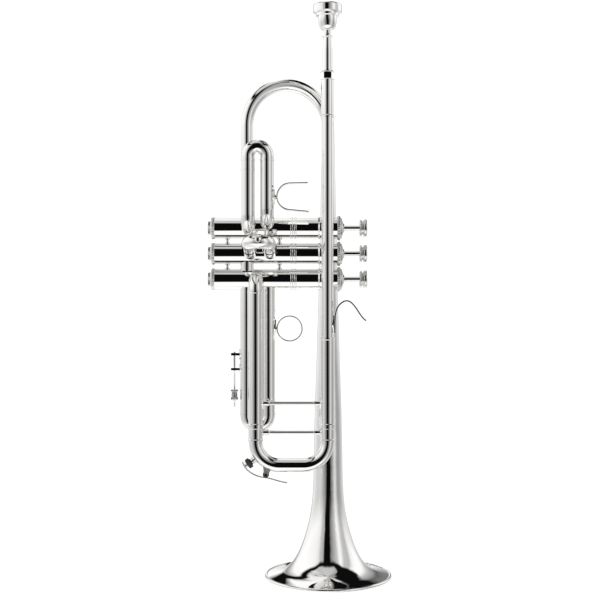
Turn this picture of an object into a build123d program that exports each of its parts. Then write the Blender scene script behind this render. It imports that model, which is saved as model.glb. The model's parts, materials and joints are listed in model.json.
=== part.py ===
from build123d import *
from math import cos, radians, tan
import os

# A silver-plated trumpet that stands on its bell, in millimetres.
# The origin is the centre of the bell mouth. +Z runs up the bell to the mouthpiece, +X points to the
# finger buttons, and -Y to the leadpipe side. Up, down, left and right below are in that frame.

# Planes and axes of the wrap
lead_x = -1.6
lead_y = -38.0
low_x = -68.6
valve_y = -20.0
casing_z = (334.7, 310.5, 286.35)
UP = Vector(0, 0, 1)
DOWN = Vector(0, 0, -1)
NEAR = Vector(0, -1, 0)
BUTTONS = Vector(1, 0, 0)

# Tubing: bore, slide legs and outer sleeves
bore_r = 5.83
main_leg_r = 6.15
main_sleeve_r = 6.7
valve_bore_r = 5.6
valve_leg_r = 6.0
valve_sleeve_r = 6.45
valve_ring_r = 6.85
ring_height = 1.8
slide_fit = 0.05
parting = 0.15

# Bell: outside radius against height, from the rolled rim to the start of the bow
rim_r = 61.1
bead_r = 1.5
bead_wall = 0.45
bead_flat = 0.08
rim_wire_r = 0.95
bell_wall = 0.6
flare = (
    (59.9, 2.1), (51.0, 4.0), (43.0, 6.9), (36.0, 12.2), (30.2, 20.5), (22.4, 39.8), (17.3, 60.0),
    (14.6, 85.0), (13.9, 110.0), (13.2, 150.0), (11.6, 200.0), (9.75, 257.0), (6.9, 383.0), (5.8, 432.0),
)
bow_r, bow_z = flare[-1]
bow_top_z = 472.0
bell_tail_x = -77.4

# Leadpipe, receiver and mouthpiece
lead_r = 5.6
lead_top_z = 456.0
sleeve_top_z = 232.0
receiver_r = 6.05
receiver_bottom_z = 436.6
receiver_neck_z = 474.0
receiver_top_z = 480.5
shank_end_z = 456.8
shank_end_r = 4.3
shank_mouth_r = 4.82
mouthpiece_top_z = 542.0
cup_rim_r = 13.4
cup_r = 8.1
throat_r = 1.83

# Main tuning slide
main_sleeve_z = 149.1
main_crook_z = 135.1
crook_bottom_z = 112.7
crook_r = 6.5
fixed_brace_z = 170.6
slide_brace_z = 143.4

# Valves
casing_r = 9.8
casing_bore_r = 8.5
casing_lip = 0.2
casing_bottom_x = -107.9
casing_top_x = 8.0
cap_thread_r = 9.15
cap_thread = 6.0
bottom_thread = 3.5
piston_r = 8.45
piston_bottom_x = -90.0
piston_top_x = -36.0
barrel_top_x = -3.0
guide_x = -34.5
guide_thick = 1.5
travel = 14.0
stem_r = 2.5
button_x = 29.3
button_top_x = 36.2
button_r = 8.25

# Places along the casings where tubes join, and the slides' tubes
cross_12_x = -66.4
cross_23_x = -77.3
first_x = (-75.8, -58.0)
first_high_port = 30.0
second_x = (-74.15, -55.45)
third_x = (-77.5, -57.2)
elbow_r = 11.0

# First slide
first_left_top_z = 389.0
first_right_top_z = 353.1
first_bow_z = 397.9
saddle_z = 362.9
saddle_r = 12.4
saddle_end_x = -20.5
saddle_width = 10.0

# Second slide, tilted up as it leaves its casing
second_tilt = 9.0
second_sleeve = 28.0
second_bow = 46.0

# Third slide
third_top_z = 275.2
third_right_part_z = 256.0
third_left_part_z = 207.6
third_bow_z = 158.0
ring_x = -37.0
ring_z = 239.7
ring_r = 12.4
ring_band = 1.3
stop_x = -89.3
stop_fixed_z = 215.4
stop_moving_z = 201.3
stop_arm_width = 5.0
stop_arm_end = 3.4
stop_nut_top_z = 182.0
stop_end_z = 165.6

# Water key on the crook's lower left corner
key_pivot = (-58.9, 104.3)
key_width = 5.0
key_ear = 0.7
key_hole_r = 0.85
key_angle = 35.8
crook_bend_r = 22.4


def save(builder, name):
    """Label a finished piece and write it."""
    builder.part.label = name
    export_step(builder.part, f"parts/{name}.step")


def rod(start, end, radius, mode=Mode.ADD):
    """Solid round bar between two points."""
    run = Vector(end) - Vector(start)
    with BuildSketch(Plane(origin=start, z_dir=run)) as disc:
        Circle(radius)
    extrude(disc.sketch, amount=run.length, mode=mode)


def tube(start, end, outer, inner):
    """Straight tube between two points."""
    run = Vector(end) - Vector(start)
    with BuildSketch(Plane(origin=start, z_dir=run)) as ring:
        Circle(outer)
        Circle(inner, mode=Mode.SUBTRACT)
    extrude(ring.sketch, amount=run.length)


def bent_tube(points, radius, outer, inner):
    """Tube along straight runs joined by arcs of one radius."""
    with BuildLine() as route:
        FilletPolyline(*points, radius=radius)
    path = route.wires()[0]
    with BuildSketch(Plane(origin=path @ 0, z_dir=path % 0)) as ring:
        Circle(outer)
        Circle(inner, mode=Mode.SUBTRACT)
    sweep(ring.sketch, path=path)


def u_bend(start, end, rise, straight, outer, inner):
    """Half-circle bend between two parallel tubes, with a short straight part on each."""
    first = Vector(start)
    last = Vector(end)
    half = (last - first).length / 2
    with BuildLine() as route:
        Line(first, first + rise * straight)
        ThreePointArc(
            first + rise * straight, (first + last) / 2 + rise * (straight + half), last + rise * straight
        )
        Line(last + rise * straight, last)
    path = route.wires()[0]
    with BuildSketch(Plane(origin=first, z_dir=rise)) as ring:
        Circle(outer)
        Circle(inner, mode=Mode.SUBTRACT)
    sweep(ring.sketch, path=path)


def turned(base, outline, mode=Mode.ADD):
    """Turn a closed outline of (radius, height) points about a plane's own axis."""
    section_plane = Plane(origin=base.origin, x_dir=base.x_dir, z_dir=-base.y_dir)
    with BuildSketch(section_plane) as section:
        with BuildLine():
            Polyline(*outline, close=True)
        make_face()
    revolve(section.sketch, axis=Axis(base.origin, base.z_dir), mode=mode)


def strap(points, thickness, width, y, edge=0.45):
    """Flat strip standing on edge across Y, bent along a curve in an XZ plane. Edge is how round its edges
    are, as a share of its thickness."""
    with BuildLine(Plane.XZ.offset(-y)) as route:
        Spline(*points)
    path = route.wires()[0]
    with BuildSketch(Plane(origin=path @ 0, x_dir=(0, 1, 0), z_dir=path % 0)) as section:
        RectangleRounded(width, thickness, edge * thickness)
    sweep(section.sketch, path=path)


def along_x(x, y, z):
    """Plane at a point, facing the finger buttons."""
    return Plane(origin=(x, y, z), x_dir=(0, 1, 0), z_dir=(1, 0, 0))


def casing_axis(valve, x):
    """Point on the axis of one valve casing."""
    return Vector(x, valve_y, casing_z[valve])


def cut_for_casing(valve):
    """Shape the end of a tube to the outside of a casing."""
    rod(casing_axis(valve, casing_bottom_x), casing_axis(valve, casing_top_x), casing_r, Mode.SUBTRACT)


def foot(centre, out, tube_r, height, width, thickness=0.8):
    """Diamond foot rolled to a vertical tube whose axis passes through centre, facing the way out."""
    axis_point = Vector(centre)
    with BuildPart() as diamond:
        tube(axis_point + DOWN * height, axis_point + UP * height, tube_r + thickness, tube_r)
        with BuildSketch(Plane(origin=axis_point, x_dir=UP, z_dir=out)) as outline:
            with BuildLine():
                Polyline(
                    (height / 2, 0), (0, width / 2), (-height / 2, 0), (0, -width / 2), close=True
                )
            make_face()
            fillet(outline.vertices(), 0.8)
        extrude(outline.sketch, amount=tube_r + 2 * thickness, mode=Mode.INTERSECT)
    return diamond.part


def first_high():
    """Direction in which the first slide's right tube leaves its casing."""
    return NEAR.rotate(Axis.X, -first_high_port)


def ports(valve):
    """Where tubes join a casing: (place along X, direction outwards) for each port."""
    if valve == 0:
        return [(bell_tail_x, UP), (cross_12_x, DOWN), (first_x[0], NEAR), (first_x[1], first_high())]
    if valve == 1:
        return [(cross_12_x, UP), (cross_23_x, DOWN), (second_x[0], NEAR), (second_x[1], NEAR)]
    return [(cross_23_x, UP), (low_x, NEAR), (third_x[0], DOWN), (third_x[1], DOWN)]


def passages(valve):
    """Ways through a piston: pairs of (x, side), first the open one and then the two to and from the slide."""
    if valve == 0:
        through = ((cross_12_x, DOWN), (bell_tail_x, UP))
        round_slide = (
            ((cross_12_x, DOWN), (first_x[1], first_high())),
            ((bell_tail_x, UP), (first_x[0], NEAR)),
        )
    elif valve == 1:
        through = ((cross_23_x, DOWN), (cross_12_x, UP))
        round_slide = (((cross_23_x, DOWN), (second_x[0], NEAR)), ((cross_12_x, UP), (second_x[1], NEAR)))
    else:
        through = ((low_x, NEAR), (cross_23_x, UP))
        round_slide = (((low_x, NEAR), (third_x[1], DOWN)), ((cross_23_x, UP), (third_x[0], DOWN)))
    shifted = [tuple((x + travel, side) for x, side in pair) for pair in round_slide]
    return [through] + shifted


def inner_points(points, wall):
    """Outline of the inside of a turned shell: each point moved inwards, square to the outline."""
    moved = []
    for index, (radius, height) in enumerate(points):
        before = points[max(index - 1, 0)]
        after = points[min(index + 1, len(points) - 1)]
        along = Vector(after[0] - before[0], after[1] - before[1]).normalized()
        moved.append((radius - wall * along.Y, height + wall * along.X))
    return moved[:-1] + [(points[-1][0] - wall, points[-1][1])]


def make_bell():
    """Flare, bow and tail in one piece, with the edge of the flare rolled over a wire."""
    section_plane = Plane.XZ
    tail_z = casing_z[0] + 5
    with BuildPart() as bell:
        with BuildSketch(section_plane) as wall:
            with BuildLine():
                outside = Spline(*flare)
                inside = Spline(*inner_points(flare, bell_wall))
                Line(outside @ 0, inside @ 0)
                Line(outside @ 1, inside @ 1)
            make_face()
            with Locations((rim_r - bead_r, bead_r - bead_flat)):
                Circle(bead_r)
                Circle(bead_r - bead_wall, mode=Mode.SUBTRACT)
            with Locations((rim_r - bead_r, -1)):
                Rectangle(4, 2, mode=Mode.SUBTRACT)
        revolve(wall.sketch, axis=Axis.Z)
        bent_tube(
            [(0, 0, bow_z), (0, 0, bow_top_z), (bell_tail_x, valve_y, bow_top_z),
             (bell_tail_x, valve_y, tail_z)],
            39.8, bow_r, bow_r - bell_wall,
        )
        cut_for_casing(0)
    save(bell, "bell")
    with BuildPart() as wire:
        with BuildSketch(section_plane) as wire_section:
            with Locations((rim_r - bead_r, bead_r - bead_flat)):
                Circle(rim_wire_r)
        revolve(wire_section.sketch, axis=Axis.Z)
    save(wire, "rim_wire")


def make_leadpipe():
    """Leadpipe with its receiver, and the two outer tubes of the main slide."""
    base = Plane(origin=(lead_x, lead_y, 0))
    with BuildPart() as leadpipe:
        turned(base, [
            (lead_r, sleeve_top_z - 4), (lead_r, lead_top_z), (4.35, lead_top_z), (5.1, sleeve_top_z - 4),
        ])
    save(leadpipe, "leadpipe")
    with BuildPart() as receiver:
        turned(base, [
            (lead_r, receiver_bottom_z), (receiver_r + 0.5, receiver_bottom_z),
            (receiver_r + 0.5, receiver_bottom_z + 1.6), (receiver_r, receiver_bottom_z + 2.2),
            (receiver_r, receiver_neck_z), (receiver_r - 0.9, receiver_neck_z + 1.2),
            (receiver_r - 0.9, receiver_top_z - 1.4), (receiver_r - 0.4, receiver_top_z - 0.9),
            (receiver_r - 0.4, receiver_top_z), (shank_mouth_r + slide_fit, receiver_top_z),
            (shank_end_r + slide_fit, shank_end_z), (shank_end_r + slide_fit, lead_top_z),
            (lead_r, lead_top_z),
        ])
    save(receiver, "mouthpiece_receiver")
    with BuildPart() as upper_sleeve:
        turned(base, [
            (main_leg_r + slide_fit, main_sleeve_z), (main_sleeve_r + 0.6, main_sleeve_z),
            (main_sleeve_r + 0.6, main_sleeve_z + 2), (main_sleeve_r, main_sleeve_z + 2.6),
            (main_sleeve_r, sleeve_top_z - 2.6), (main_sleeve_r + 0.4, sleeve_top_z - 2),
            (main_sleeve_r + 0.4, sleeve_top_z), (lead_r, sleeve_top_z), (lead_r, sleeve_top_z - 4),
            (main_leg_r + slide_fit, sleeve_top_z - 4),
        ])
    save(upper_sleeve, "upper_slide_tube")
    low_top_z = casing_z[2] - elbow_r
    with BuildPart() as lower_sleeve:
        turned(Plane(origin=(low_x, lead_y, 0)), [
            (main_leg_r + slide_fit, main_sleeve_z), (main_sleeve_r + 0.6, main_sleeve_z),
            (main_sleeve_r + 0.6, main_sleeve_z + 2), (main_sleeve_r, main_sleeve_z + 2.6),
            (main_sleeve_r, low_top_z - 2.4), (main_sleeve_r + 0.6, low_top_z - 1.8),
            (main_sleeve_r + 0.6, low_top_z), (main_leg_r + slide_fit, low_top_z),
        ])
    save(lower_sleeve, "lower_slide_tube")


def make_mouthpiece():
    """Rim, cup, throat and tapered shank, turned from one bar."""
    base = Plane(origin=(lead_x, lead_y, 0))
    section_plane = Plane(origin=base.origin, x_dir=(1, 0, 0), z_dir=(0, -1, 0))
    top = mouthpiece_top_z
    with BuildPart() as mouthpiece:
        with BuildSketch(section_plane) as section:
            with BuildLine():
                rim = Spline(
                    (cup_r, top - 1.8), (10.4, top), (cup_rim_r, top - 2.4), tangents=[(0.3, 1), (0, -1)]
                )
                collar = Polyline(
                    rim @ 1, (cup_rim_r, top - 7.4), (cup_rim_r - 1.0, top - 8.3), (10.7, top - 8.6),
                    (10.7, top - 10.8), (8.9, top - 11.4),
                )
                bowl = Spline(
                    collar @ 1, (8.6, top - 16.0), (7.4, top - 20.8), (3.4, top - 24.2),
                    tangents=[(0, -1), (-1, -0.15)],
                )
                shank = Polyline(
                    bowl @ 1, (3.2, top - 27.0), (3.7, top - 28.4), (4.9, top - 28.9), (4.9, top - 30.2),
                    (3.75, top - 31.0), (4.0, top - 36.0), (4.7, top - 42.0), (shank_mouth_r, receiver_top_z),
                    (shank_end_r, shank_end_z),
                )
                backbore = Polyline(
                    shank @ 1, (3.5, shank_end_z), (throat_r, top - 24.0), (throat_r, top - 18.0)
                )
                Spline(
                    backbore @ 1, (4.6, top - 12.4), (cup_r, top - 1.8), tangents=[(0.3, 1), (0.2, 1)]
                )
            make_face()
        revolve(section.sketch, axis=Axis(base.origin, base.z_dir))
    save(mouthpiece, "mouthpiece")


def make_casings():
    """Three casings with their ports, and the caps that close them."""
    band = (-36.1, -30.7)
    outline = [
        (casing_bore_r, casing_bottom_x), (casing_r, casing_bottom_x),
        (casing_r, band[0]), (casing_r + 0.35, band[0] + 0.5), (casing_r + 0.35, band[0] + 1.6),
        (casing_r, band[0] + 2.1), (casing_r, band[1] - 2.1), (casing_r + 0.35, band[1] - 1.6),
        (casing_r + 0.35, band[1] - 0.5), (casing_r, band[1]), (casing_r, -10.0),
        (casing_r + 0.7, -8.6), (casing_r + 0.7, -6.9), (casing_r + casing_lip, -5.6),
        (casing_r + casing_lip, casing_top_x), (casing_bore_r, casing_top_x),
    ]
    for valve in range(3):
        base = along_x(0, valve_y, casing_z[valve])
        with BuildPart() as casing:
            turned(base, outline)
            for x, side in ports(valve):
                start = casing_axis(valve, x)
                rod(start, start + side * (casing_r + 1), valve_bore_r, Mode.SUBTRACT)
            rod(casing_axis(valve, casing_bottom_x), casing_axis(valve, casing_bottom_x + bottom_thread),
                cap_thread_r, Mode.SUBTRACT)
            rod(casing_axis(valve, casing_top_x - cap_thread), casing_axis(valve, casing_top_x),
                cap_thread_r, Mode.SUBTRACT)
        save(casing, f"valve_casing_{valve + 1}")


def make_caps():
    """Top caps with the hole for the stem, their felts, and bottom caps with a vent."""
    with BuildPart() as top_caps:
        for z in casing_z:
            turned(along_x(casing_top_x, valve_y, z), [
                (8.2, -cap_thread), (cap_thread_r, -cap_thread), (cap_thread_r, 0), (10.4, 0),
                (11.5, 0.7), (11.5, 2.7), (10.4, 3.3), (8.6, 4.0), (6.6, 5.0), (4.4, 5.6), (4.2, 6.6),
                (2.9, 6.6), (2.9, 3.6), (8.2, 2.0),
            ])
    save(top_caps, "top_caps")
    with BuildPart() as felts:
        for z in casing_z:
            turned(along_x(casing_top_x, valve_y, z), [
                (3.4, barrel_top_x - casing_top_x + 0.1), (7.9, barrel_top_x - casing_top_x + 0.1),
                (7.9, 1.6), (3.4, 3.0),
            ])
    save(felts, "cap_felts")
    with BuildPart() as bottom_caps:
        for z in casing_z:
            turned(along_x(casing_bottom_x, valve_y, z), [
                (8.2, bottom_thread), (cap_thread_r, bottom_thread), (cap_thread_r, 0), (9.9, 0),
                (10.4, -0.8), (10.4, -2.6), (9.4, -3.1), (7.0, -3.4), (6.5, -4.2), (6.5, -6.0),
                (5.6, -6.4), (1.5, -6.4), (1.5, -2.0), (8.2, -1.0),
            ])
    save(bottom_caps, "bottom_caps")


def make_valves():
    """For each valve: ported piston with its spring barrel, stem, finger button, pearl and spring."""
    stem_top_x = button_x + 2.6
    for valve in range(3):
        number = valve + 1
        z = casing_z[valve]
        base = along_x(0, valve_y, z)
        with BuildPart() as piston:
            turned(base, [
                (0, piston_bottom_x), (piston_r, piston_bottom_x), (piston_r, barrel_top_x),
                (0, barrel_top_x),
            ])
            rod(casing_axis(valve, piston_bottom_x + 1), casing_axis(valve, piston_top_x - 1), 7.5,
                Mode.SUBTRACT)
            rod(casing_axis(valve, piston_top_x), casing_axis(valve, barrel_top_x - 2), 7.4, Mode.SUBTRACT)
            for wall_r, mode in ((4.7, Mode.ADD), (4.1, Mode.SUBTRACT)):
                for (x1, side1), (x2, side2) in passages(valve):
                    start = casing_axis(valve, x1) + side1 * piston_r
                    end = casing_axis(valve, x2) + side2 * piston_r
                    reach = (end - start).normalized() * 4
                    rod(start - reach, end + reach, wall_r, mode)
            with BuildSketch(along_x(piston_bottom_x, valve_y, z)) as outside:
                Circle(piston_r)
            extrude(outside.sketch, amount=barrel_top_x - piston_bottom_x, mode=Mode.INTERSECT)
            with BuildSketch(along_x(guide_x - 0.2, valve_y, z)) as slot:
                Rectangle(3.4, 2 * piston_r + 1)
            extrude(slot.sketch, amount=travel + guide_thick + 0.4, mode=Mode.SUBTRACT)
            rod(casing_axis(valve, barrel_top_x - 2), casing_axis(valve, barrel_top_x), 1.8, Mode.SUBTRACT)
        save(piston, f"piston_{number}")
        with BuildPart() as stem:
            turned(base, [
                (0, barrel_top_x - 2), (1.8, barrel_top_x - 2), (1.8, barrel_top_x), (3.1, barrel_top_x),
                (3.1, barrel_top_x + 1), (stem_r, barrel_top_x + 1.6), (stem_r, button_x), (1.6, button_x),
                (1.6, stem_top_x), (0, stem_top_x),
            ])
        save(stem, f"stem_{number}")
        with BuildPart() as button:
            turned(base, [
                (1.6, button_x), (button_r - 0.35, button_x), (button_r - 0.35, button_x + 2.0),
                (6.4, button_x + 2.4), (6.4, button_x + 3.4), (button_r, button_x + 3.8),
                (button_r, button_top_x), (7.1, button_top_x), (7.1, button_top_x - 1.4),
                (0, button_top_x - 1.4), (0, stem_top_x), (1.6, stem_top_x),
            ])
            rims = [edge for edge in button.edges().filter_by(GeomType.CIRCLE) if edge.radius > button_r - 0.5]
            fillet(rims, 0.95)
        save(button, f"finger_button_{number}")
        with BuildPart() as pearl:
            turned(base, [
                (0, button_top_x - 1.4), (7.1, button_top_x - 1.4), (7.1, button_top_x - 0.25),
                (6.2, button_top_x - 0.35), (0, button_top_x - 0.6),
            ])
        save(pearl, f"pearl_{number}")
        make_valve_spring(number, z)


def make_valve_spring(number, z):
    """Return spring between the guide and the top of the spring barrel."""
    turns = 8
    wire_r = 0.4
    coil_r = 6.4
    start_x = guide_x + guide_thick + wire_r + 0.05
    length = barrel_top_x - 2 - wire_r - 0.05 - start_x
    with BuildPart() as spring:
        with BuildLine() as coil:
            Helix(length / turns, length, coil_r, center=(start_x, valve_y, z), direction=(1, 0, 0))
        path = coil.wires()[0]
        with BuildSketch(Plane(origin=path @ 0, z_dir=path % 0)) as wire:
            Circle(wire_r)
        sweep(wire.sketch, path=path, is_frenet=True)
    save(spring, f"valve_spring_{number}")


def make_valve_fittings():
    """Guides inside the barrels, cross tubes and posts between casings, and supports to the other tubes."""
    with BuildPart() as guides:
        for z in casing_z:
            with BuildSketch(along_x(guide_x, valve_y, z)) as star:
                Circle(7.2)
                Rectangle(2.8, 2 * casing_bore_r - 0.5)
                Circle(3.5, mode=Mode.SUBTRACT)
            extrude(star.sketch, amount=guide_thick)
    save(guides, "valve_guides")
    with BuildPart() as cross_tubes:
        for upper, x in ((0, cross_12_x), (1, cross_23_x)):
            tube(casing_axis(upper, x), casing_axis(upper + 1, x), valve_sleeve_r, valve_bore_r)
        for valve in range(3):
            cut_for_casing(valve)
    save(cross_tubes, "cross_tubes")
    with BuildPart() as posts:
        for upper in (0, 1):
            for x in (-96.0, -46.7):
                start = casing_axis(upper, x)
                end = casing_axis(upper + 1, x)
                middle = (start + end) / 2
                rod(start, end, 1.5)
                rod(start, middle + UP * 1.3, 2.6)
                rod(middle + DOWN * 1.3, end, 2.6)
        for valve in (0, 2):
            z = casing_z[valve]
            rod((lead_x, valve_y, z), (lead_x, lead_y, z), 3.0)
            rod((lead_x, valve_y, z), (lead_x, 0, z), 3.0)
        for valve in range(3):
            cut_for_casing(valve)
            rod(casing_axis(valve, -casing_top_x), casing_axis(valve, casing_top_x),
                casing_r + casing_lip, Mode.SUBTRACT)
        rod((lead_x, lead_y, sleeve_top_z), (lead_x, lead_y, receiver_bottom_z), lead_r, Mode.SUBTRACT)
        bell_room()
    save(posts, "casing_posts")


def make_elbows():
    """Elbows from the near side of the casings to the lower outer tube and to the first slide."""
    inside = 6.0
    bend_r = elbow_r - 0.05
    left, right = first_x
    high_corner = casing_axis(0, right) + first_high() * (valve_y - lead_y) / cos(radians(first_high_port))
    with BuildPart() as elbows:
        low_end = casing_axis(2, low_x) + NEAR * inside
        bent_tube(
            [(low_x, lead_y, low_end.Z - elbow_r), (low_x, lead_y, low_end.Z), low_end],
            bend_r, main_sleeve_r, bore_r,
        )
        left_end = casing_axis(0, left) + NEAR * inside
        bent_tube(
            [(left, lead_y, left_end.Z + elbow_r), (left, lead_y, left_end.Z), left_end],
            bend_r, valve_sleeve_r, valve_bore_r,
        )
        bent_tube(
            [(right, lead_y, first_right_start_z()), high_corner, casing_axis(0, right) + first_high() * inside],
            bend_r, valve_sleeve_r, valve_bore_r,
        )
        cut_for_casing(0)
        cut_for_casing(2)
    save(elbows, "casing_elbows")


def first_right_start_z():
    """Height at which the first slide's right tube leaves its elbow."""
    corner_z = casing_z[0] + (valve_y - lead_y) * tan(radians(first_high_port))
    return corner_z + elbow_r * tan(radians(90 - first_high_port) / 2)


def brace(left_x, right_x, z, tube_r, foot_height, end_r=2.6, rod_r=1.75):
    """Turned brace between the two vertical tubes of the main slide, with a foot on each."""
    collar = 8.0
    feet = [
        foot((low_x, lead_y, z), BUTTONS, tube_r, foot_height, 9.0),
        foot((lead_x, lead_y, z), -BUTTONS, tube_r, foot_height, 9.0),
    ]
    with BuildPart() as bar:
        turned(along_x(0, lead_y, z), [
            (0, left_x), (end_r, left_x), (end_r, left_x + collar - 0.8), (rod_r, left_x + collar),
            (rod_r, right_x - collar), (end_r, right_x - collar + 0.8), (end_r, right_x), (0, right_x),
        ])
        add(feet)
        for x in (low_x, lead_x):
            rod((x, lead_y, z - 10), (x, lead_y, z + 10), tube_r, Mode.SUBTRACT)
    return bar


def bell_room():
    """Clear a piece of the tapered stem of the bell."""
    turned(Plane.XY, [(0, 190.0), (12.05, 190.0), (9.8, 257.0), (6.95, 383.0), (6.0, 425.0), (0, 425.0)],
           Mode.SUBTRACT)


def make_braces():
    """The fixed brace of the main slide and the two braces from leadpipe to bell."""
    tube_brace = brace(low_x + 5, lead_x - 5, fixed_brace_z, main_sleeve_r, 12.0)
    bell_brace_z = (405.0, 247.0)
    feet = [foot((lead_x, lead_y, z), -NEAR, lead_r, 11.0, 8.0) for z in bell_brace_z]
    with BuildPart() as braces:
        for z in bell_brace_z:
            base = Plane(origin=(lead_x, lead_y, z), x_dir=UP, z_dir=-NEAR)
            turned(base, [
                (0, 3), (2.4, 3), (2.4, 12), (1.6, 13), (1.6, 22), (2.4, 23), (2.4, 35), (0, 35),
            ])
        add(feet)
        rod((lead_x, lead_y, sleeve_top_z), (lead_x, lead_y, receiver_bottom_z), lead_r, Mode.SUBTRACT)
        bell_room()
        add(tube_brace.part)
    save(braces, "fixed_braces")


def make_finger_hook():
    """Little-finger hook on the leadpipe."""
    foot_height = 21.0
    foot_z = sleeve_top_z + foot_height / 2 + 1
    hook_foot = foot((lead_x, lead_y, foot_z), BUTTONS, lead_r, foot_height, 8.0)
    with BuildPart() as hook:
        strap([(5.0, 236.0), (5.5, 251.0), (9.3, 262.0), (16.5, 265.9), (24.2, 260.2), (29.9, 251.8),
               (34.2, 247.5)], 1.5, 7.0, lead_y, 0.2)
        add(hook_foot)
        rod((lead_x, lead_y, sleeve_top_z), (lead_x, lead_y, sleeve_top_z + 2 * foot_height), lead_r,
            Mode.SUBTRACT)
    save(hook, "finger_hook")


def make_main_slide():
    """Legs, crook and ferrules of the main slide, with its brace and the seat of the water key."""
    with BuildPart() as legs:
        for x in (low_x, lead_x):
            tube((x, lead_y, main_crook_z), (x, lead_y, sleeve_top_z - 6), main_leg_r, bore_r)
    save(legs, "main_slide_legs")
    with BuildPart() as ferrules:
        top_z = main_sleeve_z - parting
        for x in (low_x, lead_x):
            turned(Plane(origin=(x, lead_y, 0)), [
                (main_leg_r, main_crook_z), (main_sleeve_r + 0.5, main_crook_z),
                (main_sleeve_r + 0.5, main_crook_z + 1.6), (main_sleeve_r, main_crook_z + 2.2),
                (main_sleeve_r, top_z - 2.2), (main_sleeve_r + 0.5, top_z - 1.6),
                (main_sleeve_r + 0.5, top_z), (main_leg_r, top_z),
            ])
    save(ferrules, "main_slide_ferrules")
    with BuildPart() as crook:
        bent_tube(
            [(low_x, lead_y, main_crook_z), (low_x, lead_y, crook_bottom_z),
             (lead_x, lead_y, crook_bottom_z), (lead_x, lead_y, main_crook_z)],
            crook_bend_r - 0.1, crook_r, bore_r,
        )
        rod(on_crook(key_angle, 15), on_crook(key_angle, 25), 1.6, Mode.SUBTRACT)
    save(crook, "main_slide_crook")
    save(brace(low_x + 5, lead_x - 5, slide_brace_z, main_sleeve_r, 6.6), "main_slide_brace")


def on_crook(angle, distance):
    """Point at an angle below horizontal from the centre of the crook's left corner."""
    corner = Vector(low_x + crook_bend_r, lead_y, crook_bottom_z + crook_bend_r)
    return corner + Vector(-distance, 0, 0).rotate(Axis.Y, -angle)


def make_water_key():
    """Seat with posts, nipple and pivot screw on the crook, and the key that tips on them."""
    pivot = Vector(key_pivot[0], lead_y, key_pivot[1])
    outside = crook_bend_r + crook_r
    with BuildPart() as nipple:
        tube(on_crook(key_angle, outside - 1.4), on_crook(key_angle, outside + 3.0), 2.6, 1.6)
        cut_for_crook()
    save(nipple, "water_nipple")
    with BuildPart() as seat:
        for side in (-1, 1):
            y = lead_y + side * (key_width / 2 + 1.1)
            start = Vector(pivot.X, y, pivot.Z)
            rod(start - Vector(0, 0.9, 0), start + Vector(0, 0.9, 0), 2.0)
            with BuildSketch(Plane.XZ.offset(-y - 0.9)) as ear:
                with BuildLine():
                    Polyline(
                        (pivot.X - 1.8, pivot.Z), (pivot.X - 2.6, pivot.Z + 8),
                        (pivot.X + 5.0, pivot.Z + 5.4), (pivot.X + 1.8, pivot.Z - 0.6), close=True,
                    )
                make_face()
            extrude(ear.sketch, amount=1.8)
        rod(pivot - Vector(0, 6, 0), pivot + Vector(0, 6, 0), key_hole_r, Mode.SUBTRACT)
        cut_for_crook()
    save(seat, "water_key_seat")
    with BuildPart() as screw:
        rod(pivot - Vector(0, 5.6, 0), pivot + Vector(0, 4.6, 0), 0.8)
        rod(pivot - Vector(0, 5.6, 0), pivot - Vector(0, 4.6, 0), 1.5)
    save(screw, "water_key_screw")
    below_pivot = (key_pivot[0], key_pivot[1] - 3.0)
    ear_r = 2.9
    with BuildPart() as lever:
        strap([(-80.6, 116.2), (-78.2, 110.6), (-72.0, 105.2), (-64.6, 102.2), below_pivot,
               (-49.1, 98.7), (-39.1, 96.6)], 1.3, key_width, lead_y)
        for side in (-1, 1):
            face = pivot + Vector(0, side * key_width / 2, 0)
            rod(face, face - Vector(0, side * key_ear, 0), ear_r)
        rod(on_crook(key_angle, outside + 5.6), on_crook(key_angle, outside + 8.0), 3.6)
        rod(on_crook(key_angle, outside + 7.5), on_crook(key_angle, outside + 11.0), 2.0)
        rod(on_crook(key_angle, outside + 4.4), on_crook(key_angle, outside + 6.8), 2.9, Mode.SUBTRACT)
        rod(pivot - Vector(0, key_width, 0), pivot + Vector(0, key_width, 0), key_hole_r, Mode.SUBTRACT)
    save(lever, "water_key_lever")
    with BuildPart() as cork:
        rod(on_crook(key_angle, outside + 3.1), on_crook(key_angle, outside + 6.8), 2.85)
    save(cork, "water_key_cork")


def cut_for_crook():
    """Shape a piece to the outside of the crook's left corner."""
    with BuildLine() as route:
        FilletPolyline(
            (low_x, lead_y, main_crook_z), (low_x, lead_y, crook_bottom_z), (lead_x, lead_y, crook_bottom_z),
            radius=crook_bend_r - 0.1,
        )
    path = route.wires()[0]
    with BuildSketch(Plane(origin=path @ 0, z_dir=path % 0)) as disc:
        Circle(crook_r)
    sweep(disc.sketch, path=path, mode=Mode.SUBTRACT)


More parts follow.
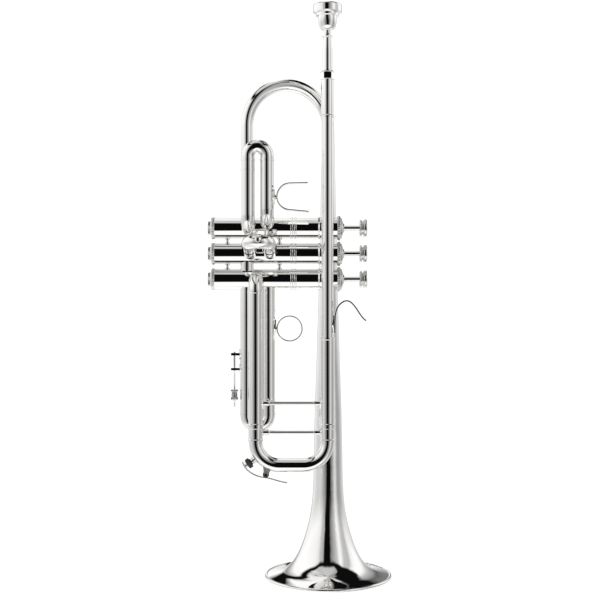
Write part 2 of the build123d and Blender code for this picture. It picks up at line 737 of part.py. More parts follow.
def make_first_slide():
    """Fixed tubes of the first slide, and the slide with its thumb saddle."""
    left, right = first_x
    sleeve_bore_r = valve_leg_r + slide_fit
    left_start_z = casing_z[0] + elbow_r
    right_start_z = first_right_start_z()
    with BuildPart() as fixed:
        tube((left, lead_y, left_start_z), (left, lead_y, first_left_top_z), valve_sleeve_r, sleeve_bore_r)
        tube((left, lead_y, first_left_top_z - ring_height), (left, lead_y, first_left_top_z),
             valve_ring_r, sleeve_bore_r)
        tube((right, lead_y, right_start_z), (right, lead_y, first_right_top_z), valve_sleeve_r, valve_bore_r)
        tube((right, lead_y, right_start_z), (right, lead_y, first_bow_z - 3), valve_leg_r, valve_bore_r)
    save(fixed, "first_slide_tubes")
    with BuildPart() as leg:
        tube((left, lead_y, left_start_z + 2), (left, lead_y, first_bow_z), valve_leg_r, valve_bore_r)
        tube((left, lead_y, first_left_top_z + parting), (left, lead_y, first_bow_z), valve_sleeve_r, valve_leg_r)
        tube((right, lead_y, first_right_top_z + parting), (right, lead_y, first_bow_z),
             valve_sleeve_r, sleeve_bore_r)
        for x in first_x:
            tube((x, lead_y, first_bow_z - ring_height), (x, lead_y, first_bow_z), valve_ring_r, sleeve_bore_r)
    save(leg, "first_slide_legs")
    with BuildPart() as bow:
        u_bend((left, lead_y, first_bow_z), (right, lead_y, first_bow_z), UP, 3,
               valve_sleeve_r - 0.15, valve_bore_r)
    save(bow, "first_slide_bow")
    sleeve_x = right + valve_sleeve_r
    saddle_x = sleeve_x + 2.9 + saddle_r
    saddle_foot = foot((right, lead_y, saddle_z), BUTTONS, valve_sleeve_r, 16.0, 9.0, 1.0)
    half_wall = 0.7
    with BuildPart() as saddle:
        with BuildSketch(Plane.XZ.offset(-lead_y)) as side:
            with BuildLine():
                Line((saddle_end_x, saddle_z + saddle_r + 0.4), (saddle_x, saddle_z + saddle_r))
                ThreePointArc((saddle_x, saddle_z + saddle_r), (saddle_x - saddle_r, saddle_z),
                              (saddle_x, saddle_z - saddle_r))
                Line((saddle_x, saddle_z - saddle_r), (saddle_end_x + 0.9, saddle_z - saddle_r - 1.6))
                offset(amount=half_wall, side=Side.BOTH)
            make_face()
        extrude(side.sketch, amount=saddle_width / 2, both=True)
        rims = saddle.edges().group_by(Axis.Y)
        fillet(rims[0] + rims[-1], half_wall - 0.15)
        rod((sleeve_x - 1, lead_y, saddle_z), (saddle_x - saddle_r, lead_y, saddle_z), 2.4)
        add(saddle_foot)
        rod((right, lead_y, first_right_top_z), (right, lead_y, first_bow_z), valve_sleeve_r, Mode.SUBTRACT)
    save(saddle, "thumb_saddle")


def make_second_slide():
    """Second slide, which comes towards the leadpipe side and a little up."""
    out = NEAR.rotate(Axis.X, -second_tilt)
    centre_x = (second_x[0] + second_x[1]) / 2
    half = (second_x[1] - second_x[0]) / 2
    with BuildPart() as fixed:
        for x in second_x:
            start = casing_axis(1, x)
            tube(start + out * 5, start + out * second_sleeve, valve_sleeve_r, valve_leg_r + slide_fit)
            tube(start + out * (second_sleeve - ring_height), start + out * second_sleeve,
                 valve_ring_r, valve_leg_r + slide_fit)
        cut_for_casing(1)
    save(fixed, "second_slide_tubes")
    with BuildPart() as legs:
        for x in second_x:
            start = casing_axis(1, x)
            tube(start + out * 11.5, start + out * (second_bow - 3), valve_leg_r, valve_bore_r)
            tube(start + out * (second_sleeve + parting), start + out * (second_bow - 3),
                 valve_sleeve_r, valve_leg_r)
    save(legs, "second_slide_legs")
    with BuildPart() as bow:
        left = casing_axis(1, second_x[0])
        right = casing_axis(1, second_x[1])
        u_bend(left + out * (second_bow - 3), right + out * (second_bow - 3), out, 3,
               valve_sleeve_r - 0.15, valve_bore_r)
    save(bow, "second_slide_bow")
    tip = casing_axis(1, centre_x) + out * (second_bow + half + valve_sleeve_r - 0.15)
    with BuildPart() as knob:
        turned(Plane(origin=tip, x_dir=(1, 0, 0), z_dir=out), [
            (0, -1), (2.0, -1), (2.0, 0.4), (1.3, 0.9), (1.3, 2.4), (2.7, 3.2), (2.9, 4.2), (2.5, 5.2),
            (1.2, 5.8), (0, 5.9),
        ])
        crown = casing_axis(1, centre_x) + out * (second_bow + half)
        rod(crown - BUTTONS * 5, crown + BUTTONS * 5, valve_sleeve_r - 0.15, Mode.SUBTRACT)
    save(knob, "second_slide_knob")


def make_third_slide():
    """Fixed tubes of the third slide, and the slide with its finger ring and stop lug."""
    left, right = third_x
    y = valve_y
    leg_end_z = third_bow_z + 8
    sleeve_bore_r = valve_leg_r + slide_fit
    with BuildPart() as fixed:
        tube((left, y, third_left_part_z), (left, y, casing_z[2] - 5), valve_sleeve_r, sleeve_bore_r)
        tube((left, y, third_left_part_z), (left, y, third_left_part_z + ring_height),
             valve_ring_r, sleeve_bore_r)
        tube((right, y, third_right_part_z), (right, y, casing_z[2] - 5), valve_sleeve_r, valve_bore_r)
        tube((right, y, third_right_part_z), (right, y, third_right_part_z + ring_height),
             valve_ring_r, valve_bore_r)
        tube((right, y, leg_end_z), (right, y, third_right_part_z), valve_leg_r, valve_bore_r)
        cut_for_casing(2)
    save(fixed, "third_slide_tubes")
    with BuildPart() as legs:
        tube((left, y, third_bow_z), (left, y, third_top_z - 3), valve_leg_r, valve_bore_r)
        tube((left, y, third_bow_z), (left, y, third_left_part_z - parting), valve_sleeve_r, valve_leg_r)
        tube((right, y, third_bow_z), (right, y, third_right_part_z - parting), valve_sleeve_r, sleeve_bore_r)
        for x in third_x:
            tube((x, y, third_bow_z), (x, y, third_bow_z + ring_height), valve_ring_r, sleeve_bore_r)
    save(legs, "third_slide_legs")
    with BuildPart() as bow:
        u_bend((left, y, third_bow_z), (right, y, third_bow_z), DOWN, 0.5,
               valve_sleeve_r - 0.15, valve_bore_r)
    save(bow, "third_slide_bow")
    ring_foot = foot((right, y, ring_z), BUTTONS, valve_sleeve_r, 20.0, 8.0, 1.0)
    with BuildPart() as ring:
        with BuildSketch(Plane.XZ.offset(-y)) as band:
            with Locations((ring_x, ring_z)):
                Circle(ring_r)
                Circle(ring_r - ring_band, mode=Mode.SUBTRACT)
        extrude(band.sketch, amount=4.0, both=True)
        fillet(ring.edges().filter_by(GeomType.CIRCLE), 0.5)
        rod((right, y, ring_z), (ring_x - ring_r + 0.6, y, ring_z), 3.0)
        add(ring_foot)
        rod((right, y, ring_z - 20), (right, y, ring_z + 20), valve_sleeve_r, Mode.SUBTRACT)
    save(ring, "finger_ring")


def stop_arm(z, thickness, hole_r):
    """Arm on the third slide's left tube, out to the stop rod, with the foot that holds it."""
    left = third_x[0]
    outer_x = stop_x - stop_arm_end
    with BuildSketch(Plane.XY.offset(z - thickness / 2)) as arm:
        with Locations(((outer_x + left) / 2, valve_y)):
            RectangleRounded(left - outer_x, stop_arm_width, 0.4)
        with Locations((left, valve_y)):
            Circle(valve_sleeve_r, mode=Mode.SUBTRACT)
        with Locations((stop_x, valve_y)):
            Circle(hole_r, mode=Mode.SUBTRACT)
    extrude(arm.sketch, amount=thickness)


def make_stop():
    """Stop rod with nuts, the fixed arm that holds it and the arm that slides along it."""
    rod_r = 1.1
    foot_size = (11.2, 10.0)
    feet = [foot((third_x[0], valve_y, z), -BUTTONS, valve_sleeve_r, *foot_size)
            for z in (stop_fixed_z, stop_moving_z)]
    with BuildPart() as bracket:
        stop_arm(stop_fixed_z, 2.4, rod_r)
        add(feet[0])
    save(bracket, "stop_bracket")
    with BuildPart() as lug:
        stop_arm(stop_moving_z, 2.2, rod_r + 0.1)
        add(feet[1])
    save(lug, "stop_lug")
    with BuildPart() as stop_rod:
        rod((stop_x, valve_y, stop_end_z), (stop_x, valve_y, stop_fixed_z + 2.4), rod_r)
    save(stop_rod, "stop_rod")
    nut_r, flange_r, thin_nut, gap, thick_nut = 2.6, 3.5, 2.2, 0.2, 7.8
    with BuildPart() as nuts:
        base = Plane(origin=(stop_x, valve_y, stop_nut_top_z))
        turned(base, [
            (rod_r, 0), (nut_r, 0), (flange_r, -0.6), (flange_r, 0.6 - thin_nut),
            (nut_r, -thin_nut), (rod_r, -thin_nut),
        ])
        top = -thin_nut - gap
        bottom = top - thick_nut
        turned(base, [
            (rod_r, top), (nut_r, top), (nut_r, bottom + 2.8), (flange_r, bottom + 2.2),
            (flange_r, bottom + 0.6), (nut_r, bottom), (rod_r, bottom),
        ])
    save(nuts, "stop_nuts")


def make_key_spring():
    """Spring of the water key, coiled round the pivot screw between the ears of the key."""
    wire_r = 0.35
    coil_r = 1.65
    length = 2.2
    pitch = 0.8
    with BuildPart() as spring:
        pivot = Vector(key_pivot[0], lead_y, key_pivot[1])
        with BuildLine() as coil:
            Helix(pitch, length, coil_r, center=pivot - Vector(0, length / 2, 0), direction=(0, 1, 0))
        path = coil.wires()[0]
        with BuildSketch(Plane(origin=path @ 0, z_dir=path % 0)) as wire:
            Circle(wire_r)
        sweep(wire.sketch, path=path, is_frenet=True)
    save(spring, "water_key_spring")


os.makedirs("parts", exist_ok=True)
make_bell()
make_leadpipe()
make_mouthpiece()
make_casings()
make_caps()
make_valves()
make_valve_fittings()
make_elbows()
make_braces()
make_finger_hook()
make_main_slide()
make_water_key()
make_key_spring()
make_first_slide()
make_second_slide()
make_third_slide()
make_stop()
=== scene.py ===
import json
import math

import bmesh
import bpy
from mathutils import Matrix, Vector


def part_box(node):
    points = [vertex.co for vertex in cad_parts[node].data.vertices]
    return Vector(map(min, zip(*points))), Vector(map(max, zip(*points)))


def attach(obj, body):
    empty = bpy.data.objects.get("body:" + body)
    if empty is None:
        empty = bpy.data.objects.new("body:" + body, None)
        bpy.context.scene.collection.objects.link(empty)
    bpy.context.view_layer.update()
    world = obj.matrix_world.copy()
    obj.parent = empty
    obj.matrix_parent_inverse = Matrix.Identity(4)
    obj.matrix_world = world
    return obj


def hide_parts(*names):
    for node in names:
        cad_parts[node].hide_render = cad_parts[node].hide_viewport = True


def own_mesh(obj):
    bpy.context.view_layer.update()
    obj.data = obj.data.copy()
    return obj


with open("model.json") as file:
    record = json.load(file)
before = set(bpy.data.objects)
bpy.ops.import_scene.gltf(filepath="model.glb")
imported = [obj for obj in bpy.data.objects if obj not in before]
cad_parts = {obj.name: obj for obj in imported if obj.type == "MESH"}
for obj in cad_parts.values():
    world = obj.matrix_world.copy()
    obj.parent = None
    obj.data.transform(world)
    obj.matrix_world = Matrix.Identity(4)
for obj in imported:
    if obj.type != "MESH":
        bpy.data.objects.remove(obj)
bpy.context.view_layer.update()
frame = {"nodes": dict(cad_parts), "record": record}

MM = 0.001

# Camera: level, facing the leadpipe side
CAMERA_PLACE = (-27.2 * MM, -1090 * MM, 266.7 * MM)
CAMERA_TILT = (math.radians(90), 0, 0)
CAMERA_LENS = 67.74
SENSOR_WIDTH = 36.0
CAMERA_REACH = 50

# Studio
FLOOR_WIDTH = 12.0
FLOOR_GLOW = 0.65
SKY_STRENGTH = 1.08

# Brightness of the tent against the angle round from the camera, right-hand side positive:
# its walls at eye level and higher up, its roof and the ground
WALLS_LOW = (
    (-180, 0.85), (-172, 0.55), (-163, 0.30), (-155, 0.60), (-140, 0.86), (-112, 0.68),
    (-89, 0.60), (-62, 0.62), (-46, 0.46), (-30, 0.28), (-18, 0.16), (-13, 0.003),
    (14, 0.003), (19, 0.13), (33, 0.34), (48, 0.68), (58, 0.64), (72, 0.32),
    (90, 0.32), (112, 0.46), (134, 0.66), (150, 0.60), (165, 0.72), (180, 0.85),
)
WALLS_HIGH = (
    (-180, 0.97), (-168, 0.97), (-160, 0.25), (-150, 0.60), (-140, 0.95), (-110, 1.0),
    (-90, 0.95), (-60, 0.90), (-45, 0.80), (-35, 0.52), (-24, 0.42), (-19, 0.003),
    (6, 0.003), (11, 0.18), (20, 0.32), (35, 0.52), (48, 0.92), (58, 0.82),
    (68, 0.52), (85, 0.48), (98, 0.85), (120, 1.0), (135, 0.92), (150, 0.50),
    (160, 0.32), (166, 0.12), (172, 0.25), (178, 0.80), (180, 0.95),
)
ROOF = (
    (-180, 0.90), (-130, 0.85), (-95, 0.58), (-75, 0.78), (-50, 0.50),
    (-20, 0.56), (20, 0.52), (50, 0.30), (150, 0.35), (180, 0.90),
)
GROUND = ((-150, 1.0), (-80, 0.75), (-50, 1.0), (40, 1.0), (75, 0.45), (115, 0.45), (150, 1.0))

# Heights in degrees above the horizon over which each stretch of the tent turns into the next
GROUND_FADE = (-36, -28)
WALL_FADE = (-4, 11)
ROOF_FADE = (50, 60)

# Dark seam between the walls and the roof: its lower and upper edge in degrees above the horizon
SEAM_FOOT = (
    (-180, 18), (-164, 18), (-158, 32), (-150, 45), (-140, 50), (-60, 48), (-35, 43),
    (25, 43), (60, 48), (145, 46), (160, 40), (168, 27), (176, 17), (180, 17),
)
SEAM_TOP = (
    (-180, 30), (-166, 32), (-158, 50), (-150, 57), (-140, 62), (-60, 58), (-35, 52),
    (25, 53), (48, 66), (62, 80), (145, 80), (160, 66), (168, 48), (176, 32), (180, 30),
)
SEAM_GREY = 0.004
SEAM_BLUR = 5

# CAD pieces that fingers rub
HANDLED = ("finger_button_1", "finger_button_2", "finger_button_3", "water_key_screw")

# Turned pieces: closed outlines of (radius, distance along the axis) in millimetres,
# with how a ring is cut
KNURL = "knurl"
HEXAGON = "hexagon"
RIDGES = 48
RIDGE_DEPTH = 0.35
KNURLED_SIDES = 4 * RIDGES
ROUND_SIDES = 96
ROD_SIDES = 32
SIXTH_TURN = math.radians(60)
SHARP_EDGE = math.radians(32)
RECEIVER = (
    (5.6, -43.9), (6.55, -43.9), (6.55, -42.3), (6.05, -41.7), (6.05, -9.2), (5.5, -8.7),
    (5.8, -8.4, HEXAGON), (6.05, -8.1, HEXAGON), (6.05, -2.1, HEXAGON), (5.8, -1.8, HEXAGON),
    (5.35, -1.5), (5.65, -1.0), (5.65, 0), (4.87, 0), (4.35, -23.7), (4.35, -24.5), (5.6, -24.5),
)
TOP_CAP = (
    (8.2, -6), (9.15, -6), (9.15, 0), (10.4, 0), (11.0, 0.2), (11.5, 0.7, KNURL),
    (11.5, 2.5, KNURL), (11.0, 3.0), (9.9, 3.2), (9.7, 3.5, KNURL), (9.7, 4.1, KNURL),
    (9.0, 4.6), (7.3, 4.7), (7.1, 5.1), (5.6, 5.6), (4.4, 5.8), (4.2, 6.6), (2.9, 6.6),
    (2.9, 3.6), (8.2, 2.0),
)
BOTTOM_CAP = (
    (8.2, 3.5), (9.15, 3.5), (9.15, 0), (9.9, 0), (10.4, -0.5, KNURL), (10.4, -2.5, KNURL),
    (9.8, -3.1), (7.2, -3.3), (6.6, -3.8), (6.6, -4.2, KNURL), (6.6, -5.9, KNURL),
    (5.9, -6.4), (1.5, -6.4), (1.5, -2), (8.2, -1),
)
THIN_NUT = (
    (1.1, 0), (2.6, 0), (3.4, -0.4), (3.5, -0.7, KNURL), (3.5, -1.6, KNURL), (2.7, -2.2),
    (1.1, -2.2),
)
THICK_NUT = (
    (1.1, -2.4), (2.5, -2.4), (2.7, -2.8, KNURL), (2.7, -7.0, KNURL), (3.4, -7.5),
    (3.5, -7.9, KNURL), (3.5, -9.4, KNURL), (2.7, -10.2), (1.1, -10.2),
)
CORK_DISC = ((3.5, -0.5), (4.5, -0.5), (4.8, -0.2), (4.8, 2.7), (4.4, 3.1), (3.5, 3.1))
NIPPLE_FLANGE = ((2.5, -3.9), (3.6, -3.9), (3.9, -3.7), (3.9, -3.4), (3.6, -3.2), (2.5, -3.2))
KEY_LEAN = math.radians(35.8)

# The stop rod in millimetres: grooves stand for its thread, and it keeps a hairline bore
ROD_R = 1.1
ROOT_R = 0.85
CENTRE_R = 0.02
TIP_LENGTH = 0.2
TIP_CHAMFER = 0.3
THREAD_PITCH = 0.9
THREAD_TURNS = 38


# ---------------------------------------------------------------- shader helpers

class Nodes:
    """A node tree with short ways to add and join its nodes."""

    def __init__(self, tree):
        self.tree = tree

    def add(self, kind, **settings):
        made = self.tree.nodes.new(kind)
        for key, value in settings.items():
            setattr(made, key, value)
        return made

    def join(self, source, target):
        """Link an output to an input, or set the input where the source is a plain value."""
        if isinstance(source, bpy.types.NodeSocket):
            self.tree.links.new(source, target)
        else:
            target.default_value = source

    def place(self, stretch=(1, 1, 1)):
        """Object coordinates in metres, stretched along each axis."""
        mapping = self.add("ShaderNodeMapping")
        mapping.inputs["Scale"].default_value = stretch
        self.join(self.add("ShaderNodeTexCoord").outputs["Object"], mapping.inputs["Vector"])
        return mapping.outputs["Vector"]

    def noise(self, vector, scale, detail=3.0, roughness=0.5):
        made = self.add("ShaderNodeTexNoise")
        made.inputs["Scale"].default_value = scale
        made.inputs["Detail"].default_value = detail
        made.inputs["Roughness"].default_value = roughness
        self.join(vector, made.inputs["Vector"])
        return made.outputs["Fac"]

    def ramp(self, factor, stops, smooth=False):
        """A colour ramp through (position, grey or colour) stops."""
        made = self.add("ShaderNodeValToRGB")
        made.color_ramp.interpolation = "EASE" if smooth else "LINEAR"
        elements = made.color_ramp.elements
        while len(elements) < len(stops):
            elements.new(0.5)
        for element, (position, colour) in zip(elements, stops):
            element.position = position
            grey = isinstance(colour, (int, float))
            element.color = (colour, colour, colour, 1) if grey else (*colour, 1)
        self.join(factor, made.inputs["Fac"])
        return made.outputs["Color"]

    def maths(self, operation, first, second=0.0):
        made = self.add("ShaderNodeMath", operation=operation)
        self.join(first, made.inputs[0])
        self.join(second, made.inputs[1])
        return made.outputs["Value"]

    def mix(self, factor, first, second):
        """A number between two numbers."""
        made = self.add("ShaderNodeMix", data_type="FLOAT")
        self.join(factor, made.inputs[0])
        self.join(first, made.inputs[2])
        self.join(second, made.inputs[3])
        return made.outputs[0]

    def bump(self, height, strength, distance):
        made = self.add("ShaderNodeBump")
        made.inputs["Strength"].default_value = strength
        made.inputs["Distance"].default_value = distance
        self.join(height, made.inputs["Height"])
        return made.outputs["Normal"]


class Finish(Nodes):
    """One material, with its main shader."""

    def __init__(self, name, **settings):
        self.material = bpy.data.materials.new(name)
        self.material.use_nodes = True
        super().__init__(self.material.node_tree)
        self.shader = self.tree.nodes["Principled BSDF"]
        for key, value in settings.items():
            self.shader.inputs[key.replace("_", " ")].default_value = value

    def feed(self, **sources):
        for key, source in sources.items():
            self.tree.links.new(source, self.shader.inputs[key.replace("_", " ")])


# ---------------------------------------------------------------- materials

def silver_plate():
    """Bright silver plate: faint warm tarnish, haze in the gloss and fine lines from polishing."""
    made = Finish("silver_plate", Metallic=1.0)
    tarnish = made.noise(made.place(), 38, 4)
    haze = made.noise(made.place(), 95, 5, 0.6)
    wiping = made.noise(made.place((2600, 2600, 240)), 1.0, 2)
    made.feed(
        Base_Color=made.ramp(tarnish, [(0.30, (0.915, 0.905, 0.885)), (0.62, (0.965, 0.96, 0.95))]),
        Roughness=made.ramp(haze, [(0.35, 0.008), (0.75, 0.035)]),
        Normal=made.bump(wiping, 0.03, 0.02 * MM),
    )
    return made.material


def nickel_alloy():
    """Ground and lapped valve metal, with fine lines round the barrel."""
    made = Finish("nickel_alloy", Metallic=1.0)
    lines = made.noise(made.place((9000, 60, 60)), 1.0, 2)
    made.feed(
        Base_Color=made.ramp(lines, [(0.3, (0.55, 0.54, 0.51)), (0.7, (0.70, 0.69, 0.66))]),
        Roughness=made.ramp(lines, [(0.3, 0.16), (0.7, 0.28)]),
        Normal=made.bump(lines, 0.15, 0.02 * MM),
    )
    return made.material


def pearl():
    """Mother-of-pearl: cloudy bands with a faint pink and green lustre under a clear gloss."""
    made = Finish("pearl", Roughness=0.22, Coat_Weight=0.9, Coat_Roughness=0.05)
    clouds = made.noise(made.place((90, 210, 210)), 1.0, 5, 0.62)
    lustre = [(0.28, (0.70, 0.78, 0.76)), (0.45, (0.92, 0.90, 0.86)), (0.58, (0.94, 0.84, 0.86)),
              (0.74, (0.97, 0.96, 0.93))]
    made.feed(Base_Color=made.ramp(clouds, lustre), Normal=made.bump(clouds, 0.08, 0.1 * MM))
    return made.material


def felt():
    """Dense black felt with stray fibres."""
    made = Finish("felt", Roughness=0.95, Sheen_Weight=0.5, Sheen_Roughness=0.6)
    fibres = made.noise(made.place(), 5200, 6, 0.7)
    made.feed(
        Base_Color=made.ramp(fibres, [(0.3, (0.012, 0.012, 0.014)), (0.75, (0.06, 0.06, 0.065))]),
        Normal=made.bump(fibres, 0.7, 0.3 * MM),
    )
    return made.material


def cork():
    """Cork gone dark with oil and water, with darker grains."""
    made = Finish("cork", Roughness=0.85)
    cells = made.add("ShaderNodeTexVoronoi")
    cells.inputs["Scale"].default_value = 1900
    made.join(made.place(), cells.inputs["Vector"])
    grains = made.maths("MULTIPLY", cells.outputs["Distance"], made.noise(made.place(), 1300, 4))
    made.feed(
        Base_Color=made.ramp(grains, [(0.05, (0.012, 0.010, 0.009)), (0.3, (0.065, 0.052, 0.043))]),
        Normal=made.bump(grains, 0.6, 0.2 * MM),
    )
    return made.material


def spring_steel():
    """Drawn wire, lightly oiled."""
    made = Finish("spring_steel", Metallic=1.0)
    streaks = made.noise(made.place(), 700, 3)
    made.feed(
        Base_Color=made.ramp(streaks, [(0.3, (0.36, 0.36, 0.38)), (0.7, (0.56, 0.56, 0.58))]),
        Roughness=made.ramp(streaks, [(0.3, 0.22), (0.7, 0.36)]),
    )
    return made.material


def guide_plastic():
    """Moulded nylon, faintly mottled."""
    made = Finish("guide_plastic", Roughness=0.5)
    mottle = made.noise(made.place(), 900, 3)
    made.feed(
        Base_Color=made.ramp(mottle, [(0.3, (0.80, 0.79, 0.75)), (0.7, (0.88, 0.87, 0.84))]),
        Normal=made.bump(mottle, 0.15, 0.05 * MM),
    )
    return made.material


def worn_silver():
    """Silver plate dulled and lightly scratched by fingertips."""
    made = Finish("worn_silver", Metallic=1.0)
    rubbing = made.noise(made.place(), 260, 5, 0.65)
    scratches = made.noise(made.place((300, 2400, 2400)), 1.0, 3)
    made.feed(
        Base_Color=made.ramp(rubbing, [(0.32, (0.74, 0.735, 0.72)), (0.66, (0.90, 0.895, 0.88))]),
        Roughness=made.ramp(rubbing, [(0.3, 0.16), (0.7, 0.32)]),
        Normal=made.bump(scratches, 0.12, 0.05 * MM),
    )
    return made.material


def cast_silver():
    """Plated casting that was never polished."""
    made = Finish("cast_silver", Metallic=1.0)
    grain = made.noise(made.place(), 1500, 5, 0.6)
    made.feed(
        Base_Color=made.ramp(grain, [(0.32, (0.72, 0.715, 0.70)), (0.66, (0.88, 0.875, 0.86))]),
        Roughness=made.ramp(grain, [(0.3, 0.36), (0.7, 0.52)]),
        Normal=made.bump(grain, 0.35, 0.1 * MM),
    )
    return made.material


def dress_cad_nodes(finishes):
    """Give every CAD node the finish of its slot."""
    for part in frame["record"]["subparts"]:
        slots = frame["nodes"][part["node"]].data.materials
        slots.clear()
        slots.append(finishes[part["material_slot"]])
    for name in HANDLED:
        frame["nodes"][name].data.materials[0] = finishes["worn_silver"]
    frame["nodes"]["water_key_seat"].data.materials[0] = finishes["cast_silver"]


# ---------------------------------------------------------------- turned pieces

def cut(radius, angle, shape=None):
    """Radius of a ring at an angle: round, finely ridged, or six-sided with a flat towards -Y."""
    if shape == KNURL:
        return radius - RIDGE_DEPTH * (0.5 - 0.5 * math.cos(angle * RIDGES))
    if shape == HEXAGON:
        turn = (angle + 2 * SIXTH_TURN) % SIXTH_TURN - SIXTH_TURN / 2
        return radius / math.cos(turn)
    return radius


def turned(name, axis, sides, solids):
    """One mesh of solids turned about the X or Z axis, each from an outline and a place in metres."""
    points = []
    faces = []
    for outline, place in solids:
        start = len(points)
        rows = len(outline)
        for side in range(sides):
            angle = 2 * math.pi * side / sides
            for radius, distance, *shape in outline:
                reach = cut(radius, angle, *shape) * MM
                wide, high, along = reach * math.cos(angle), reach * math.sin(angle), distance * MM
                offset = (along, wide, high) if axis == "X" else (wide, high, along)
                points.append([base + part for base, part in zip(place, offset)])
            here = start + side * rows
            there = start + (side + 1) % sides * rows
            for row in range(rows):
                after = (row + 1) % rows
                faces.append((here + row, there + row, there + after, here + after))
    mesh = bpy.data.meshes.new(name)
    mesh.from_pydata(points, [], faces)
    shape = bmesh.new()
    shape.from_mesh(mesh)
    bmesh.ops.recalc_face_normals(shape, faces=shape.faces)
    shape.to_mesh(mesh)
    shape.free()
    mesh.shade_smooth()
    mesh.set_sharp_from_angle(angle=SHARP_EDGE)
    made = bpy.data.objects.new(name, mesh)
    bpy.context.scene.collection.objects.link(made)
    return made


def stand_in(piece, node, finish):
    """Show a fixed piece of the horn instead of the CAD node."""
    piece.data.materials.append(finish)
    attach(piece, "horn")
    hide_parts(node)


def middle(node):
    """Centre of a CAD node's box."""
    low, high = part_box(node)
    return [(a + b) / 2 for a, b in zip(low, high)]


def thread_outline(length):
    """Closed outline of a round rod whose far end is threaded."""
    outline = [(CENTRE_R, 0), (ROD_R, 0)]
    for turn in range(THREAD_TURNS):
        crest = -length + (THREAD_TURNS - turn) * THREAD_PITCH
        outline += [(ROD_R, crest), (ROOT_R, crest - THREAD_PITCH / 2)]
    tip = [(ROD_R, -length + TIP_LENGTH), (ROD_R - TIP_CHAMFER, -length), (CENTRE_R, -length)]
    return outline + tip


def key_ring(name, outline, finish, body):
    """Ring round the axis of the water key's cork, measured from the cork's middle."""
    ring = turned(name, "X", ROUND_SIDES, [(outline, (0, 0, 0))])
    ring.rotation_euler = (0, math.pi - KEY_LEAN, 0)
    ring.location = middle("water_key_cork")
    ring.data.materials.append(finish)
    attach(ring, body)


def detail_pieces(silver, worn, cork_finish):
    """Receiver with its six-sided collar, knurled caps and nuts, the stop rod, and two rings by the key."""
    x, y, _ = middle("mouthpiece_receiver")
    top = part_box("mouthpiece_receiver")[1][2]
    receiver = turned("receiver_with_collar", "Z", ROUND_SIDES, [(RECEIVER, (x, y, top))])
    stand_in(receiver, "mouthpiece_receiver", silver)
    casings = [f"valve_casing_{number}" for number in (1, 2, 3)]
    tops = [(TOP_CAP, (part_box(node)[1][0], *middle(node)[1:])) for node in casings]
    stand_in(turned("knurled_top_caps", "X", KNURLED_SIDES, tops), "top_caps", worn)
    bottoms = [(BOTTOM_CAP, (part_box(node)[0][0], *middle(node)[1:])) for node in casings]
    stand_in(turned("knurled_bottom_caps", "X", KNURLED_SIDES, bottoms), "bottom_caps", worn)
    x, y, _ = middle("stop_nuts")
    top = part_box("stop_nuts")[1][2]
    nuts = [(THIN_NUT, (x, y, top)), (THICK_NUT, (x, y, top))]
    stand_in(turned("knurled_stop_nuts", "Z", KNURLED_SIDES, nuts), "stop_nuts", worn)
    low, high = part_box("stop_rod")
    length = (high[2] - low[2]) / MM
    rod = turned("threaded_stop_rod", "Z", ROD_SIDES, [(thread_outline(length), (x, y, high[2]))])
    stand_in(rod, "stop_rod", silver)
    key_ring("cork_disc", CORK_DISC, cork_finish, "water_key")
    key_ring("nipple_flange", NIPPLE_FLANGE, silver, "main_slide")


def return_springs():
    """The valves' springs, each a copy of its CAD node that moves with its valve."""
    for number in (1, 2, 3):
        node = f"valve_spring_{number}"
        body = f"valve_{number}"
        coil = bpy.data.objects.new(f"return_spring_{number}", frame["nodes"][node].data.copy())
        bpy.context.scene.collection.objects.link(coil)
        coil.matrix_world = frame["nodes"][node].matrix_world
        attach(coil, body)
        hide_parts(node)
        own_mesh(coil)


# ---------------------------------------------------------------- studio

def around(degrees):
    """Place on a ramp that runs once round the horizon, with the camera's side in the middle."""
    return 0.5 + degrees / 360


def upwards(degrees):
    """Place on a ramp that runs from straight down to straight up."""
    return 0.5 + degrees / 180


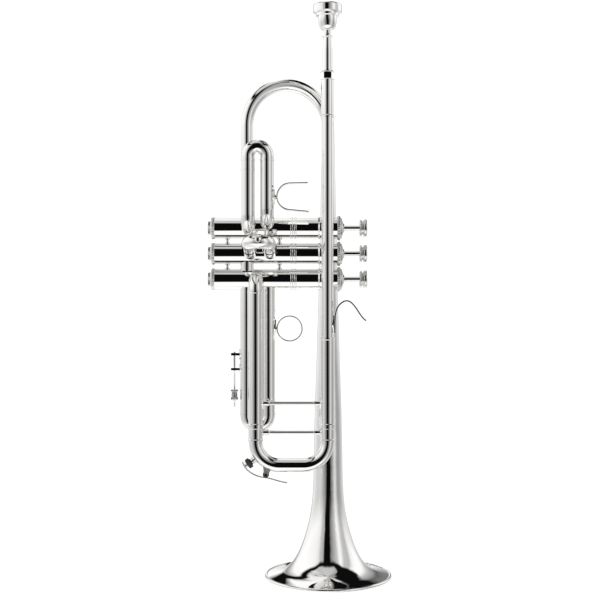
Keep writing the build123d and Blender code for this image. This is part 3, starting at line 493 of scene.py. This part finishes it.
def light_tent():
    """A tent lit all round, with greyer cloth at the sides, a tall dark slit to shoot through
    and a dark seam under the roof. The lens itself sees plain white."""
    world = bpy.data.worlds.new("light_tent")
    world.use_nodes = True
    made = Nodes(world.node_tree)
    background = world.node_tree.nodes["Background"]
    split = made.add("ShaderNodeSeparateXYZ")
    made.join(made.add("ShaderNodeTexCoord").outputs["Generated"], split.inputs["Vector"])
    x, y, z = split.outputs
    turn = made.maths("ARCTAN2", x, made.maths("MULTIPLY", y, -1.0))
    turn = made.maths("ADD", made.maths("DIVIDE", turn, 2 * math.pi), 0.5)
    rise = made.maths("ADD", made.maths("DIVIDE", made.maths("ARCSINE", z), math.pi), 0.5)

    def ring(table):
        """Value that changes round the horizon."""
        return made.ramp(turn, [(around(angle), value) for angle, value in table])

    def edge(above, below):
        """Runs from 0 to 1 as the first height passes the second."""
        gap = made.maths("SUBTRACT", above, below)
        step = made.maths("MULTIPLY_ADD", gap, 180 / SEAM_BLUR)
        step.node.inputs[2].default_value = 0.5
        step.node.use_clamp = True
        return step

    def fade(heights, first, last, smooth=True):
        """Runs from the first value to the last between two heights."""
        start, end = heights
        return made.ramp(rise, [(upwards(start), first), (upwards(end), last)], smooth)

    walls = made.mix(fade(WALL_FADE, 0.0, 1.0, smooth=False), ring(WALLS_LOW), ring(WALLS_HIGH))
    high = fade(ROOF_FADE, 0.0, 1.0)
    low = fade(GROUND_FADE, 1.0, 0.0)
    foot = ring([(angle, upwards(degrees)) for angle, degrees in SEAM_FOOT])
    top = ring([(angle, upwards(degrees)) for angle, degrees in SEAM_TOP])
    seam = made.maths("MULTIPLY", edge(rise, foot), edge(top, rise))
    light = made.mix(low, made.mix(high, walls, ring(ROOF)), ring(GROUND))
    light = made.mix(seam, light, SEAM_GREY)
    lens = made.add("ShaderNodeLightPath").outputs["Is Camera Ray"]
    made.join(made.mix(lens, light, 1.0), background.inputs["Color"])
    background.inputs["Strength"].default_value = SKY_STRENGTH
    bpy.context.scene.world = world


def floor():
    """A white table top that glows faintly, under the bell's rim."""
    half = FLOOR_WIDTH / 2
    mesh = bpy.data.meshes.new("floor")
    corners = [(-half, -half, 0), (half, -half, 0), (half, half, 0), (-half, half, 0)]
    mesh.from_pydata(corners, [], [(0, 1, 2, 3)])
    plane = bpy.data.objects.new("floor", mesh)
    bpy.context.scene.collection.objects.link(plane)
    finish = Finish("floor", Roughness=0.9, Specular_IOR_Level=0.1)
    shade = finish.noise(finish.place(), 30, 2)
    finish.feed(Base_Color=finish.ramp(shade, [(0.3, 0.86), (0.7, 0.88)]))
    finish.shader.inputs["Emission Color"].default_value = (1, 1, 1, 1)
    finish.shader.inputs["Emission Strength"].default_value = FLOOR_GLOW
    mesh.materials.append(finish.material)
    plane.visible_glossy = False


def camera():
    data = bpy.data.cameras.new("camera")
    data.sensor_width = SENSOR_WIDTH
    data.lens = CAMERA_LENS
    data.clip_end = CAMERA_REACH
    eye = bpy.data.objects.new("camera", data)
    eye.location = CAMERA_PLACE
    eye.rotation_euler = CAMERA_TILT
    bpy.context.scene.collection.objects.link(eye)
    bpy.context.scene.camera = eye


def studio():
    bpy.context.scene.view_settings.view_transform = "Standard"
    light_tent()
    floor()
    camera()


finishes = {
    "silver_plate": silver_plate(),
    "nickel_alloy": nickel_alloy(),
    "pearl": pearl(),
    "felt": felt(),
    "cork": cork(),
    "spring_steel": spring_steel(),
    "guide_plastic": guide_plastic(),
    "worn_silver": worn_silver(),
    "cast_silver": cast_silver(),
}
dress_cad_nodes(finishes)
detail_pieces(finishes["silver_plate"], finishes["worn_silver"], finishes["cork"])
return_springs()
studio()
